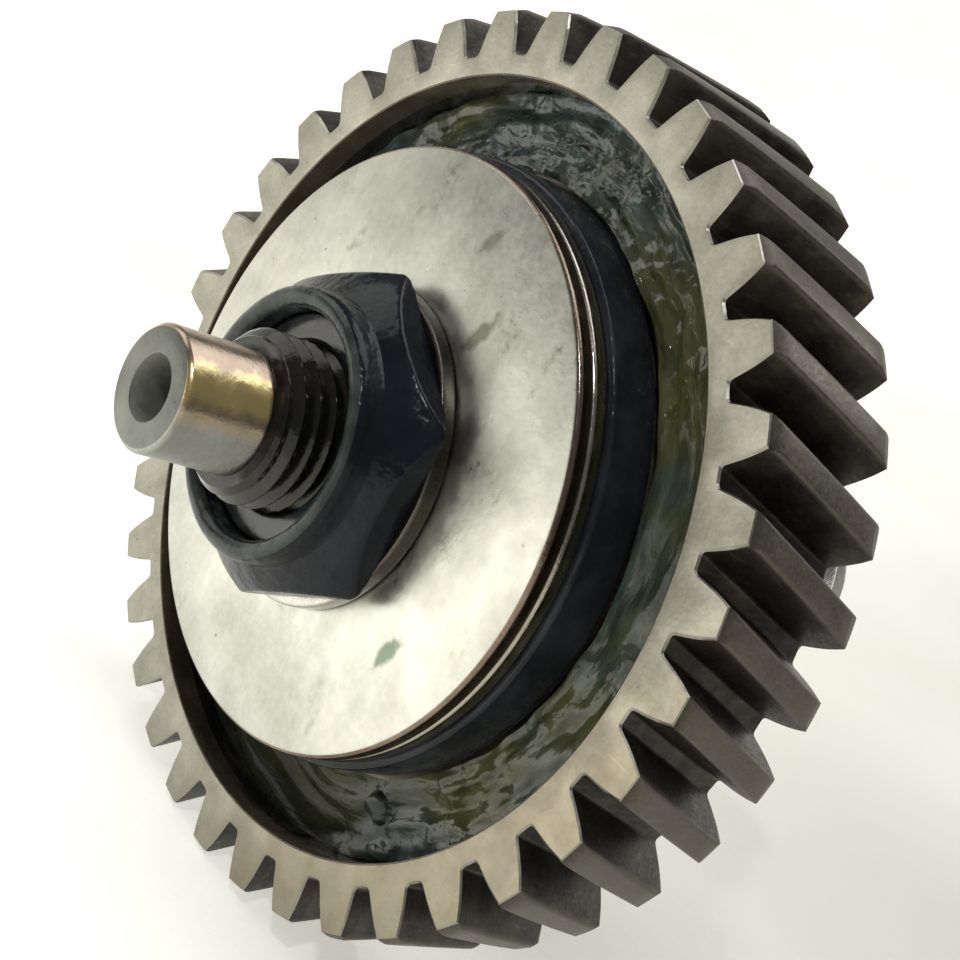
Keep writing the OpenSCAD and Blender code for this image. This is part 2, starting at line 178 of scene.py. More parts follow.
# ---------------------------------------------------------------- material helpers
class Shader:
    """A principled material and short calls that add and link its nodes."""

    def __init__(self, name, **values):
        self.material = bpy.data.materials.new(name)
        self.material.use_nodes = True
        self.tree = self.material.node_tree
        self.surface = self.tree.nodes["Principled BSDF"]
        coords = self.add("ShaderNodeTexCoord")
        scale = self.add("ShaderNodeMapping")
        scale.inputs["Scale"].default_value = (1 / MM, 1 / MM, 1 / MM)
        self.link(coords.outputs["Object"], scale.inputs["Vector"])
        self.mm = scale.outputs[0]
        for key, value in values.items():
            self.set(key.replace("_", " "), value)

    def add(self, kind, **props):
        made = self.tree.nodes.new(kind)
        for key, value in props.items():
            setattr(made, key, value)
        return made

    def link(self, source, target):
        self.tree.links.new(source, target)

    def set(self, socket, value):
        target = self.surface.inputs[socket]
        if isinstance(value, bpy.types.NodeSocket):
            self.link(value, target)
        elif hasattr(value, "__len__") and len(value) == 3 and target.type == "RGBA":
            target.default_value = (*value, 1)
        else:
            target.default_value = value

    def feed(self, made, index, value):
        if isinstance(value, bpy.types.NodeSocket):
            self.link(value, made.inputs[index])
        elif value is not None:
            made.inputs[index].default_value = value

    def math(self, operation, a, b=None, c=None):
        made = self.add("ShaderNodeMath", operation=operation)
        for i, value in enumerate((a, b, c)):
            self.feed(made, i, value)
        return made.outputs[0]

    def stretch(self, scale, turn=(0, 0, 0)):
        made = self.add("ShaderNodeMapping")
        self.link(self.mm, made.inputs["Vector"])
        made.inputs["Scale"].default_value = scale
        made.inputs["Rotation"].default_value = [math.radians(a) for a in turn]
        return made.outputs[0]

    def noise(self, scale, detail=4, vector=None, rough=0.55, distortion=0.0):
        made = self.add("ShaderNodeTexNoise")
        self.link(vector or self.mm, made.inputs["Vector"])
        made.inputs["Scale"].default_value = scale
        made.inputs["Detail"].default_value = detail
        made.inputs["Roughness"].default_value = rough
        made.inputs["Distortion"].default_value = distortion
        return made.outputs["Fac"]

    def cells(self, scale, vector=None):
        made = self.add("ShaderNodeTexVoronoi")
        self.link(vector or self.mm, made.inputs["Vector"])
        made.inputs["Scale"].default_value = scale
        return made.outputs["Distance"]

    def ramp(self, value, low, high, first=0.0, last=1.0):
        made = self.add("ShaderNodeMapRange")
        for i, v in enumerate((value, low, high, first, last)):
            self.feed(made, i, v)
        return made.outputs[0]

    def mix(self, share, first, last):
        made = self.add("ShaderNodeMix", data_type="RGBA")
        self.feed(made, 0, share)
        for index, colour in ((6, first), (7, last)):
            if isinstance(colour, bpy.types.NodeSocket):
                self.link(colour, made.inputs[index])
            else:
                made.inputs[index].default_value = (*colour, 1)
        return made.outputs[2]

    def bump(self, height, strength, distance_mm, onto=None):
        made = self.add("ShaderNodeBump")
        made.inputs["Strength"].default_value = strength
        made.inputs["Distance"].default_value = distance_mm * MM
        self.link(height, made.inputs["Height"])
        if onto is not None:
            self.link(onto, made.inputs["Normal"])
        return made.outputs[0]

    def xyz(self):
        """The three coordinates of the shaded point, in millimetres."""
        parts = self.add("ShaderNodeSeparateXYZ")
        self.link(self.mm, parts.inputs[0])
        return parts.outputs[0], parts.outputs[1], parts.outputs[2]

    def radius_and_station(self):
        """Distance from the shaft axis and station, in millimetres."""
        x, y, z = self.xyz()
        r2 = self.math("MULTIPLY_ADD", z, z, self.math("MULTIPLY", x, x))
        return self.math("SQRT", r2), self.math("MULTIPLY", y, -1.0)

    def turned(self, per_mm):
        """Fine rings left by a lathe tool on both flat and round faces, from 0 to 1."""
        r, s = self.radius_and_station()
        joined = self.add("ShaderNodeCombineXYZ")
        self.link(self.math("MULTIPLY", r, per_mm), joined.inputs[0])
        self.link(self.math("MULTIPLY", s, per_mm), joined.inputs[1])
        return self.noise(1.0, 3, joined.outputs[0], 0.7)

    def scratches(self, along, turn, cover=0.62, length=1.0):
        """Thin short lines that run one way, from 0 to 1."""
        lines = self.noise(1.0, 2, self.stretch((length * 0.35, 7, 7), turn), 0.5, 0.2)
        thin = self.ramp(lines, cover, cover + 0.05)
        patch = self.ramp(self.noise(along, 2), 0.42, 0.62)
        return self.math("MULTIPLY", thin, patch)


def smear(s, x, z, turn, wide, long):
    """Mask of one ragged smear at (x, z) on a face, turned about the shaft axis."""
    place = s.add("ShaderNodeMapping", vector_type="TEXTURE")
    place.inputs["Location"].default_value = (x, 0, z)
    place.inputs["Rotation"].default_value = (0, math.radians(turn), 0)
    place.inputs["Scale"].default_value = (wide, 1000, long)
    s.link(s.mm, place.inputs["Vector"])
    size = s.add("ShaderNodeVectorMath", operation="LENGTH")
    s.link(place.outputs[0], size.inputs[0])
    ragged = s.math("MULTIPLY_ADD", s.noise(1.1, 4), 1.4, size.outputs["Value"])
    return s.ramp(ragged, 1.25, 1.75, 1, 0)


def steel(name, light, dark, rough, rings, ring_depth, wear, metallic=1.0, stain_and_painted_light=None):
    """Machined or ground steel: mottled colour, tool rings, scratches and small dark marks.

    rings is the number of tool rings in a millimetre, ring_depth their depth in millimetres,
    wear the strength of the scratches, and stain_and_painted_light a function that adds a stain,
    painted light or both to the colour."""
    s = Shader(name, Metallic=metallic)
    cloud = s.ramp(s.noise(0.16, 5), 0.35, 0.68)
    grain = s.ramp(s.noise(2.6, 4), 0.3, 0.75)
    tone = s.math("MULTIPLY_ADD", grain, 0.35, s.math("MULTIPLY", cloud, 0.65))
    colour = s.mix(tone, dark, light)
    marks = s.ramp(s.cells(0.9, s.stretch((1, 1, 1), (20, 30, 10))), 0.05, 0.11, 1.0, 0.0)
    sparse = s.math("MULTIPLY", marks, s.ramp(s.noise(0.5, 2), 0.56, 0.62))
    colour = s.mix(s.math("MULTIPLY", sparse, 0.7), colour, tuple(0.25 * c for c in dark))
    # Stains, painted shade and painted reflections go over the steel colour here.
    if stain_and_painted_light:
        colour = stain_and_painted_light(s, colour)
    line_a = s.scratches(0.22, (18, 35, 40))
    line_b = s.scratches(0.3, (-30, -10, -55), 0.64, 1.6)
    lines = s.math("MAXIMUM", line_a, line_b)
    ring = s.turned(rings)
    s.set("Base Color", colour)
    base = s.ramp(s.noise(0.5, 4), 0.3, 0.7, rough - 0.07, rough + 0.1)
    s.set("Roughness", s.math("MULTIPLY_ADD", lines, -0.1 * wear, base))
    normal = s.bump(ring, 0.35, ring_depth)
    normal = s.bump(grain, 0.4, 0.022, normal)
    s.set("Normal", s.bump(lines, -wear, 0.03, normal))
    return s.material


def oil_bands_and_painted_reflection(s, colour):
    """Pink, gold and brown bands on the upper side of the journal: baked oil, with the gold and
    pink bands partly painted reflections of warm light from above.
    """
    _, _, z = s.xyz()
    ragged = s.math("MULTIPLY_ADD", s.noise(0.7, 4), 1.6, z)
    colour = s.mix(s.ramp(ragged, 0.2, 1.4, 0, 0.8), colour, (0.38, 0.30, 0.20))
    colour = s.mix(s.ramp(ragged, 1.9, 2.9, 0, 0.9), colour, (0.86, 0.68, 0.31))
    return s.mix(s.ramp(ragged, 4.2, 5.0, 0, 0.85), colour, (0.25, 0.195, 0.18))


def painted_shade_upper_right(s, colour):
    """Painted shade: dark brown over the upper right of the washer."""
    x, _, z = s.xyz()
    across = s.math("MULTIPLY_ADD", x, 0.8, s.math("MULTIPLY", z, 0.7))
    ragged = s.math("MULTIPLY_ADD", s.noise(0.6, 3), 4.0, across)
    return s.mix(s.ramp(ragged, 4.0, 9.0, 0, 0.9), colour, (0.045, 0.036, 0.028))


def dried_oil(s, colour):
    """Tan film of dried oil on the lower right of the gear face."""
    x, _, z = s.xyz()
    across = s.math("MULTIPLY_ADD", x, 0.8, s.math("MULTIPLY", z, -0.7))
    ragged = s.math("MULTIPLY_ADD", s.noise(0.5, 3), 5.0, across)
    return s.mix(s.ramp(ragged, 24.0, 35.0, 0, 0.6), colour, (0.29, 0.245, 0.172))


def tooth_steel():
    """Tooth flanks and tips: dark brown under a film of old oil, paler on the tips."""
    s = Shader("tooth_steel", Metallic=0.75)
    r, _ = s.radius_and_station()
    cloud = s.ramp(s.noise(0.35, 5), 0.35, 0.68)
    fine = s.noise(3.0, 4)
    along = s.noise(1.0, 3, s.stretch((2.2, 0.25, 2.2), (0, 0, -18)))
    colour = s.mix(cloud, (0.019, 0.017, 0.013), (0.070, 0.059, 0.047))
    colour = s.mix(s.ramp(along, 0.55, 0.8, 0, 0.6), colour, (0.12, 0.098, 0.08))
    # The tips are paler, by radius.
    tip = s.ramp(r, gear.r - 0.5, gear.r - 0.05)
    worn = s.math("MULTIPLY", tip, s.ramp(fine, 0.3, 0.7, 0.35, 0.8))
    s.set("Base Color", s.mix(worn, colour, (0.17, 0.150, 0.123)))
    s.set("Roughness", s.ramp(fine, 0.3, 0.7, 0.36, 0.58))
    s.set("Normal", s.bump(fine, 0.3, 0.03, s.bump(along, 0.3, 0.04)))
    s.set("Specular IOR Level", 0.35)
    return s.material


def oily_steel(name, dark, light):
    """Steel under thin dark grease."""
    s = Shader(name, Metallic=0.3)
    cloud = s.ramp(s.noise(0.22, 5), 0.35, 0.7)
    s.set("Base Color", s.mix(cloud, dark, light))
    wet = s.noise(0.5, 3)
    s.set("Roughness", s.ramp(wet, 0.35, 0.7, 0.12, 0.34))
    s.set("Normal", s.bump(wet, 0.5, 0.2))
    s.set("Specular IOR Level", 0.4)
    return s.material


def black_oxide(name, dark, light):
    """Blackened steel under a thin film of oil, worn a little greyer in patches."""
    s = Shader(name, Metallic=0.0)
    cloud = s.ramp(s.noise(0.22, 5), 0.4, 0.75)
    s.set("Base Color", s.mix(cloud, dark, light))
    wet = s.noise(0.35, 3)
    grain = s.noise(4.0, 3)
    s.set("Roughness", s.ramp(wet, 0.35, 0.7, 0.11, 0.30))
    lines = s.scratches(0.22, (0, 38, 20), 0.62)
    normal = s.bump(grain, 0.2, 0.02, s.bump(wet, 0.7, 0.35))
    s.set("Normal", s.bump(lines, -0.4, 0.03, normal))
    s.set("Specular IOR Level", 0.2)
    return s.material


def disc_steel():
    """Disc spring: bright satin sheet with short slanting scratches, specks and oily smears."""
    s = Shader("disc_steel", Metallic=1.0)
    cloud = s.ramp(s.noise(0.12, 5), 0.36, 0.66)
    grain = s.ramp(s.noise(1.6, 5), 0.3, 0.72)
    tone = s.math("MULTIPLY_ADD", grain, 0.3, s.math("MULTIPLY", cloud, 0.7))
    colour = s.mix(tone, (0.36, 0.362, 0.32), (0.60, 0.60, 0.55))
    film = s.math(
        "MULTIPLY",
        s.ramp(s.noise(0.28, 3, s.stretch((1, 1, 0.5), (0, 35, 0))), 0.60, 0.70),
        s.ramp(s.noise(1.4, 3), 0.4, 0.6),
    )
    colour = s.mix(s.math("MULTIPLY", film, 0.55), colour, (0.20, 0.22, 0.15))
    smears = (
        ((16.2, -9.6, 20, 0.8, 1.9), 0.8, (0.09, 0.14, 0.09)),
        ((8.3, 14.2, 25, 0.8, 2.6), 0.7, (0.13, 0.12, 0.09)),
        ((4.1, 20.3, 30, 0.7, 1.6), 0.6, (0.16, 0.15, 0.11)),
    )
    for place, share, tint in smears:
        colour = s.mix(s.math("MULTIPLY", smear(s, *place), share), colour, tint)
    speck = s.math(
        "MULTIPLY",
        s.ramp(s.cells(0.55), 0.03, 0.09, 1.0, 0.0),
        s.ramp(s.noise(0.35, 2), 0.55, 0.6),
    )
    colour = s.mix(s.math("MULTIPLY", speck, 0.8), colour, (0.07, 0.065, 0.05))
    s.set("Base Color", colour)
    lines = s.math(
        "MAXIMUM", s.scratches(0.16, (0, 38, 0), 0.6), s.scratches(0.2, (0, 52, 0), 0.63, 1.5)
    )
    base = s.ramp(s.noise(0.4, 4), 0.3, 0.7, 0.26, 0.40)
    s.set("Roughness", s.math("MULTIPLY_ADD", film, -0.12, base))
    normal = s.bump(grain, 0.3, 0.02)
    s.set("Normal", s.bump(lines, -0.6, 0.035, normal))
    return s.material


def grease_gel():
    """Wet dark grease, olive in places and teal in others, drawn out along the ring, with painted
    shade towards the lower left.
    """
    s = Shader("grease_gel", Metallic=0.0)
    r, _ = s.radius_and_station()
    x, _, z = s.xyz()
    ring = s.add("ShaderNodeCombineXYZ")
    s.link(s.math("MULTIPLY", s.math("DIVIDE", x, r), 7.0), ring.inputs[0])
    s.link(s.math("MULTIPLY", s.math("DIVIDE", z, r), 7.0), ring.inputs[1])
    s.link(s.math("MULTIPLY", r, 0.9), ring.inputs[2])
    drawn = s.noise(1.0, 4, ring.outputs[0], 0.6, 0.5)
    patch = s.ramp(s.noise(0.07, 3), 0.42, 0.58)
    deep = s.mix(patch, (0.042, 0.046, 0.017), (0.020, 0.032, 0.031))
    pale = s.mix(patch, (0.105, 0.110, 0.045), (0.060, 0.092, 0.088))
    colour = s.mix(s.ramp(drawn, 0.38, 0.7), deep, pale)
    fine = s.noise(1.6, 3)
    colour = s.mix(s.ramp(fine, 0.66, 0.8, 0, 0.35), colour, (0.12, 0.15, 0.13))
    # Painted shade: towards the lower left the grease is darkened and its gloss lowered, where the
    # recess lies in shade.
    low = s.ramp(s.math("MULTIPLY_ADD", x, 0.45, z), -27, -9, 1, 0)
    s.set("Base Color", s.mix(s.math("MULTIPLY", low, 0.8), colour, (0.008, 0.009, 0.007)))
    s.set("Roughness", s.ramp(fine, 0.3, 0.7, 0.07, 0.18))
    lower_right = s.ramp(s.math("MULTIPLY_ADD", z, -0.53, x), 22, 30)
    churned = s.math("MAXIMUM", s.ramp(z, 12, 24), lower_right)
    broken = s.math("MULTIPLY", churned, s.ramp(s.noise(0.2, 2), 0.42, 0.6))
    lumps = s.math("MULTIPLY", s.noise(0.6, 2, rough=0.45, distortion=0.4), broken)
    normal = s.bump(fine, 0.08, 0.15, s.bump(drawn, 0.3, 0.45))
    s.set("Normal", s.bump(lumps, 0.6, 0.9, normal))
    gloss = s.math("MULTIPLY_ADD", churned, 0.2, 0.32)
    s.set("Specular IOR Level", s.math("MULTIPLY_ADD", low, -0.2, gloss))
    return s.material


def soft_material(name, light, dark, rough, grain_scale, metallic=0.0):
    """Bronze, brass, lining or nylon: two-tone grain with matching bump."""
    s = Shader(name, Metallic=metallic)
    grain = s.noise(grain_scale, 5)
    s.set("Base Color", s.mix(s.ramp(grain, 0.35, 0.65), dark, light))
    s.set("Roughness", s.ramp(s.noise(0.6, 4), 0.3, 0.7, rough - 0.08, rough + 0.1))
    s.set("Normal", s.bump(grain, 0.3, 0.04))
    return s.material


GEAR_FACE = steel("gear_face_steel", (0.41, 0.40, 0.34), (0.25, 0.24, 0.20),
                  0.44, 3.0, 0.03, 1.0, stain_and_painted_light=dried_oil)
BRIGHT_EDGE = steel("bright_edge_steel", (0.42, 0.40, 0.34), (0.25, 0.235, 0.2),
                    0.36, 3.0, 0.01, 0.4)
TOOTH = tooth_steel()
RECESS = oily_steel("oily_recess_steel", (0.006, 0.007, 0.005), (0.028, 0.026, 0.018))
RECESS_EDGE = oily_steel("recess_edge_steel", (0.05, 0.04, 0.028), (0.115, 0.09, 0.06))
BLACK = black_oxide("black_oxide", (0.005, 0.007, 0.011), (0.012, 0.015, 0.021))
PLATE = black_oxide("plate_black_oxide", (0.014, 0.016, 0.021), (0.036, 0.039, 0.048))
# Rolled lip of the nut: black oxide worn greyer, with a lighter grey-green painted highlight.
BLACK_WORN_AND_HIGHLIGHT = black_oxide("worn_black_oxide_painted_highlight", (0.022, 0.028, 0.028), (0.085, 0.098, 0.090))
DISC = disc_steel()
DISC_RIM = steel("disc_rim_steel", (0.32, 0.25, 0.20), (0.13, 0.095, 0.075), 0.2, 2.0, 0.02, 0.6)
# Rear disc spring rim: a paler copy of the rim steel, painted as the light grey highlight line.
DISC_RIM_HIGHLIGHT = steel("disc_rim_steel_painted_highlight", (0.48, 0.45, 0.39), (0.24, 0.21, 0.175),
                      0.19, 2.0, 0.02, 0.6)
GREASE = grease_gel()
SHAFT = steel("shaft_steel", (0.33, 0.335, 0.30), (0.23, 0.235, 0.21), 0.30, 5.0, 0.02, 0.4)
# Journal: oil bands and painted reflections of warm light on its upper side.
JOURNAL = steel("journal_steel", (0.26, 0.268, 0.245), (0.18, 0.183, 0.168),
                0.22, 7.0, 0.012, 0.5, stain_and_painted_light=oil_bands_and_painted_reflection)
END_FACE = steel("end_face_steel", (0.145, 0.15, 0.136), (0.105, 0.11, 0.10),
                 0.36, 3.0, 0.02, 0.8)
HOLE = steel("hole_steel", (0.30, 0.31, 0.26), (0.12, 0.125, 0.10), 0.45, 3.0, 0.05, 0.8, 0.3)
THREAD = steel("thread_steel", (0.040, 0.038, 0.034), (0.010, 0.011, 0.010),
               0.10, 5.0, 0.01, 0.3, 0.7)
WASHER = steel("washer_steel", (0.44, 0.43, 0.40), (0.24, 0.23, 0.21), 0.26, 4.0, 0.02, 0.7)
# The nut washer carries painted shade on its upper right.
NUT_WASHER = steel("nut_washer_steel", (0.55, 0.545, 0.51), (0.30, 0.29, 0.265),
                   0.24, 4.0, 0.02, 0.9, stain_and_painted_light=painted_shade_upper_right)
PINION_STEEL = steel("pinion_steel", (0.40, 0.385, 0.34), (0.2, 0.19, 0.165),
                     0.34, 4.0, 0.02, 0.6)
FLANGE = steel("flange_steel", (0.40, 0.39, 0.35), (0.24, 0.23, 0.2), 0.33, 3.0, 0.03, 0.6)
CHROME = steel("bearing_chrome", (0.70, 0.70, 0.69), (0.56, 0.56, 0.55), 0.14, 9.0, 0.006, 0.3)
SHIELD = steel("shield_steel", (0.50, 0.50, 0.48), (0.36, 0.36, 0.34), 0.28, 2.0, 0.02, 0.4)
BRASS = soft_material("cage_brass", (0.60, 0.45, 0.19), (0.42, 0.3, 0.12), 0.28, 2.2, 1.0)
BRONZE = soft_material("sintered_bronze", (0.45, 0.27, 0.10), (0.26, 0.15, 0.06), 0.42, 5.0, 1.0)
LINING = soft_material("friction_lining", (0.13, 0.095, 0.06), (0.05, 0.037, 0.027), 0.7, 3.0)
NYLON = soft_material("oily_nylon", (0.02, 0.026, 0.03), (0.008, 0.010, 0.012), 0.2, 1.0)


# ---------------------------------------------------------------- toothed wheels
def tooth_outline(teeth, root_r, tip_r, root_half, tip_half, fillet, tip_round):
    """Polar points (r, angle) of a toothed wheel, anticlockwise, first tooth at angle 0."""
    half_pitch = math.pi / teeth
    root_angle = math.asin(root_half / root_r)
    tip_angle = math.asin(tip_half / tip_r)
    mid_r = (root_r + tip_r) / 2
    mid_half = (root_half + tip_half) / 2 + 0.03 * (tip_r - root_r)
    mid_angle = math.asin(mid_half / mid_r)
    valley = (root_r, -half_pitch)
    side = [(root_r, -root_angle), (mid_r, -mid_angle), (tip_r, -tip_angle)]
    other = [(r, -a) for r, a in reversed(side)]
    corners = [valley] + side + [(tip_r, 0.0)] + other
    radii = [0, fillet, 1.0, tip_round, 0, tip_round, 1.0, fillet]
    flat = [(r * math.cos(a), r * math.sin(a)) for r, a in corners]
    flat.append((root_r * math.cos(half_pitch), root_r * math.sin(half_pitch)))
    out = []
    for i in range(len(corners)):
        p = Vector(flat[i])
        if radii[i] == 0:
            out.append(p)
            continue
        before, after = Vector(flat[i - 1]) - p, Vector(flat[i + 1]) - p
        cut = min(radii[i], 0.42 * before.length, 0.42 * after.length)
        start, end = p + before.normalized() * cut, p + after.normalized() * cut
        for k in range(5):
            t = k / 4
            out.append((1 - t) ** 2 * start + 2 * t * (1 - t) * p + t * t * end)
    one = [(p.length, math.atan2(p.y, p.x)) for p in out]
    return [(r, a + i * 2 * half_pitch) for i in range(teeth) for r, a in one]


def inset(outline, by):
    """The outline moved inwards by a distance along its own normals."""
    points = np.array([(r * math.cos(a), r * math.sin(a)) for r, a in outline])
    along = np.roll(points, -1, axis=0) - np.roll(points, 1, axis=0)
    along /= np.linalg.norm(along, axis=1)[:, None]
    moved = points + np.stack([-along[:, 1], along[:, 0]], 1) * by
    return [(math.hypot(x, y), math.atan2(y, x)) for x, y in moved]


def toothed_wheel(name, outline, span, bore_outline, twist, phase, edge, tip, body, node, mats,
                  bore_material):
    """A gear blank with real tooth edges.

    twist is the turn of the teeth per millimetre of station, edge the width of the small
    chamfer round the tooth ends, tip the (height, length) of the tip chamfer, and bore_outline
    the (r, station) points from the rear face through the bore to the front face. Materials 0
    to 2 are the end faces, the chamfers and the teeth."""
    height, length = tip
    depth = span.front - span.rear
    small = inset(outline, edge)
    steps = [0, edge] + [edge + (length - edge) * k / 3 for k in (1, 2, 3)]
    middle = [length + (depth - 2 * length) * k / 8 for k in range(1, 8)]
    depths = steps + middle + [depth - d for d in reversed(steps)]
    verts = []
    for d in depths:
        station = span.front - d
        shape = small if d in (0, depth) else outline
        to_end = min(d, depth - d)
        limit = span.r - height * max(0.0, 1 - to_end / length)
        turn = phase + twist * (station - span.front)
        verts += [to_world(min(r, limit), a + turn, station) for r, a in shape]
    count = len(outline)
    rear_turn = phase - twist * depth
    for i, (r, s) in enumerate(bore_outline):
        turn = rear_turn + (phase - rear_turn) * i / (len(bore_outline) - 1)
        verts += [to_world(r, a + turn, s) for _, a in small]
    outer, rings = len(depths), len(depths) + len(bore_outline)
    kinds = []
    for i in range(rings):
        if i in (0, outer - 2):
            kind = 1
        elif i < outer - 1:
            kind = 2
        elif i in (outer - 1, rings - 1):
            kind = 0
        else:
            kind = bore_material(bore_outline[i - outer])
        kinds += [kind] * count
    return piece(name, verts, grid_faces(rings, count), body, [node], mats, kinds, 32)


def main_gear():
    """Wide helical gear with an oily recess in its front and a shallow one in its rear."""
    teeth, root_r, root_half, tip_half = 36, 34.55, 2.25, 1.12
    turn_over_face, face, phase = math.radians(7.88), 14, math.radians(2.4)
    twist = turn_over_face / face
    recess_r, rear_r = grease.r + 0.02, 29.0
    floor_at, rear_floor_at = bush.front, bush.rear
    edge_depth = 2.2
    outline = tooth_outline(teeth, root_r, gear.r, root_half, tip_half, 1.1, 0.3)
    bore = [(rear_r + 0.4, gear.rear), (rear_r, gear.rear + 0.4), (rear_r, rear_floor_at + 0.5),
            (rear_r - 0.15, rear_floor_at + 0.15), (rear_r - 0.5, rear_floor_at),
            (bush.r + 0.3, rear_floor_at), (bush.r, rear_floor_at + 0.3),
            (bush.r, floor_at - 0.3), (bush.r + 0.3, floor_at), (recess_r - 0.9, floor_at),
            (recess_r - 0.25, floor_at + 0.25), (recess_r, floor_at + 0.9),
            (recess_r, gear.front - edge_depth), (recess_r, gear.front - 0.22),
            (recess_r + 0.08, gear.front - 0.06), (recess_r + 0.22, gear.front)]

    def bore_material(point):
        r, s = point
        if s > gear.front - edge_depth - 0.1:
            return 4
        return 3 if s > 0 and r > bush.r + 1 else 0

    return toothed_wheel("main_gear_teeth", outline, gear, bore, twist, phase, 0.16, (0.45, 1.1),
                         "gear", "main_gear",
                         [GEAR_FACE, BRIGHT_EDGE, TOOTH, RECESS, RECESS_EDGE], bore_material)


def output_pinion():
    """Straight-toothed pinion behind the gear."""
    teeth, module, bore_r = 14, 2.0, 7.52
    root_r = module * (teeth - 2.5) / 2
    outline = tooth_outline(teeth, root_r, pinion.r, module, module * 0.38, 0.7, 0.25)
    bore = [(bore_r + 0.5, pinion.rear), (bore_r, pinion.rear + 0.5),
            (bore_r, pinion.front - 0.5), (bore_r + 0.5, pinion.front)]
    return toothed_wheel("output_pinion_teeth", outline, pinion, bore, 0.0, 0.0, 0.15, (0.5, 0.9),
                         "shaft", "output_pinion", [FLANGE, BRIGHT_EDGE, PINION_STEEL],
                         lambda point: 0)


main_gear()
output_pinion()


# ---------------------------------------------------------------- shaft
def clutch_shaft():
    """One skin from the rear end over the flange and the thread to the front journal."""
    segments = 288
    journal_r, crest_r, pitch, depth = 5.0, 6.9, 1.5, 0.9
    rear_r, flange_r, running_r, drive_r = 7.5, 26.0, 10.0, 7.5
    flange_front, flange_rear = rear_lining.rear - 0.02, rear_lining.rear - 5.02
    shoulder = pinion.front + 0.02
    thread_end = 23.2
    groove_front, groove_rear = circlip.front + 0.05, circlip.rear - 0.05
    hole_r, hole_end = 2.4, shaft.front - 14

    # Each row: radius, station, whether the thread cuts the radius, material of the next face
    rows = []
    ground, thread, flange, journal, end_face, hole = range(6)

    def add(kind, points):
        rows.extend((r, s, False, kind) for r, s in points)

    add(ground, [(0.02, shaft.rear + 3.6), (2.4, shaft.rear), (rear_r - 0.9, shaft.rear),
                 (rear_r - 0.45, shaft.rear + 0.12), (rear_r - 0.1, shaft.rear + 0.5),
                 (rear_r, shaft.rear + 0.9)])
    add(ground, [(rear_r, groove_rear - 0.06), (rear_r - 0.04, groove_rear),
                 (rear_r - 0.35, groove_rear), (rear_r - 0.35, groove_front),
                 (rear_r - 0.04, groove_front), (rear_r, groove_front + 0.06)])
    add(ground, [(rear_r, shoulder - 0.35), (rear_r + 0.1, shoulder - 0.1),
                 (rear_r + 0.35, shoulder), (running_r - 0.4, shoulder),
                 (running_r - 0.1, shoulder + 0.1), (running_r, shoulder + 0.4)])
    add(flange, [(running_r, flange_rear - 0.5), (running_r + 0.15, flange_rear - 0.15),
                 (running_r + 0.5, flange_rear), (flange_r - 0.7, flange_rear),
                 (flange_r - 0.2, flange_rear + 0.2), (flange_r, flange_rear + 0.7),
                 (flange_r, flange_front - 0.7), (flange_r - 0.2, flange_front - 0.2),
                 (flange_r - 0.7, flange_front)])
    add(ground, [(running_r, flange_front), (running_r, bush.front + 1.0),
                 (drive_r, bush.front + 1.2), (drive_r, washer.rear - 0.7)])
    add(thread, [(crest_r, washer.rear - 0.6)])
    start, step = insert.rear - 1.2, 0.045
    count = int((thread_end - start) / step)
    for k in range(count + 1):
        rows.append((crest_r, start + (thread_end - start) * k / count, True, thread))
    add(thread, [(journal_r + 0.25, thread_end), (journal_r + 0.05, thread_end + 0.05)])
    add(journal, [(journal_r, thread_end + 0.25), (journal_r, shaft.front - 0.40),
                  (journal_r - 0.03, shaft.front - 0.30), (journal_r - 0.26, shaft.front - 0.05)])
    add(end_face, [(journal_r - 0.36, shaft.front), (hole_r + 0.30, shaft.front)])
    add(hole, [(hole_r + 0.22, shaft.front - 0.05), (hole_r + 0.08, shaft.front - 0.55),
               (hole_r, shaft.front - 1.1), (hole_r, hole_end), (0.02, hole_end - 1.4)])

    def thread_r(angle, station):
        turn = (station / pitch - angle / (2 * math.pi)) % 1.0
        ridge = abs(turn - 0.5) * 2
        shape = min(1.0, max(0.0, (ridge - 0.06) / 0.82))
        cone = crest_r - max(0.0, station - (thread_end - 1.0)) * 0.95
        return max(journal_r + 0.25, min(crest_r - depth * shape, cone))

    verts = []
    for r, s, threaded, _ in rows:
        for k in range(segments):
            a = 2 * math.pi * k / segments
            verts.append(to_world(thread_r(a, s) if threaded else r, a, s))
    faces = grid_faces(len(rows), segments, closed=False)
    kinds = [kind for _, _, _, kind in rows[:-1] for k in range(segments)]
    for ring in (0, len(rows) - 1):
        faces.append(tuple(ring * segments + k for k in range(segments)))
        kinds.append(ground)
    return piece("clutch_shaft_turned", verts, faces, "shaft", ["clutch_shaft"],
                 [SHAFT, THREAD, FLANGE, JOURNAL, END_FACE, HOLE], kinds, 32)


clutch_shaft()


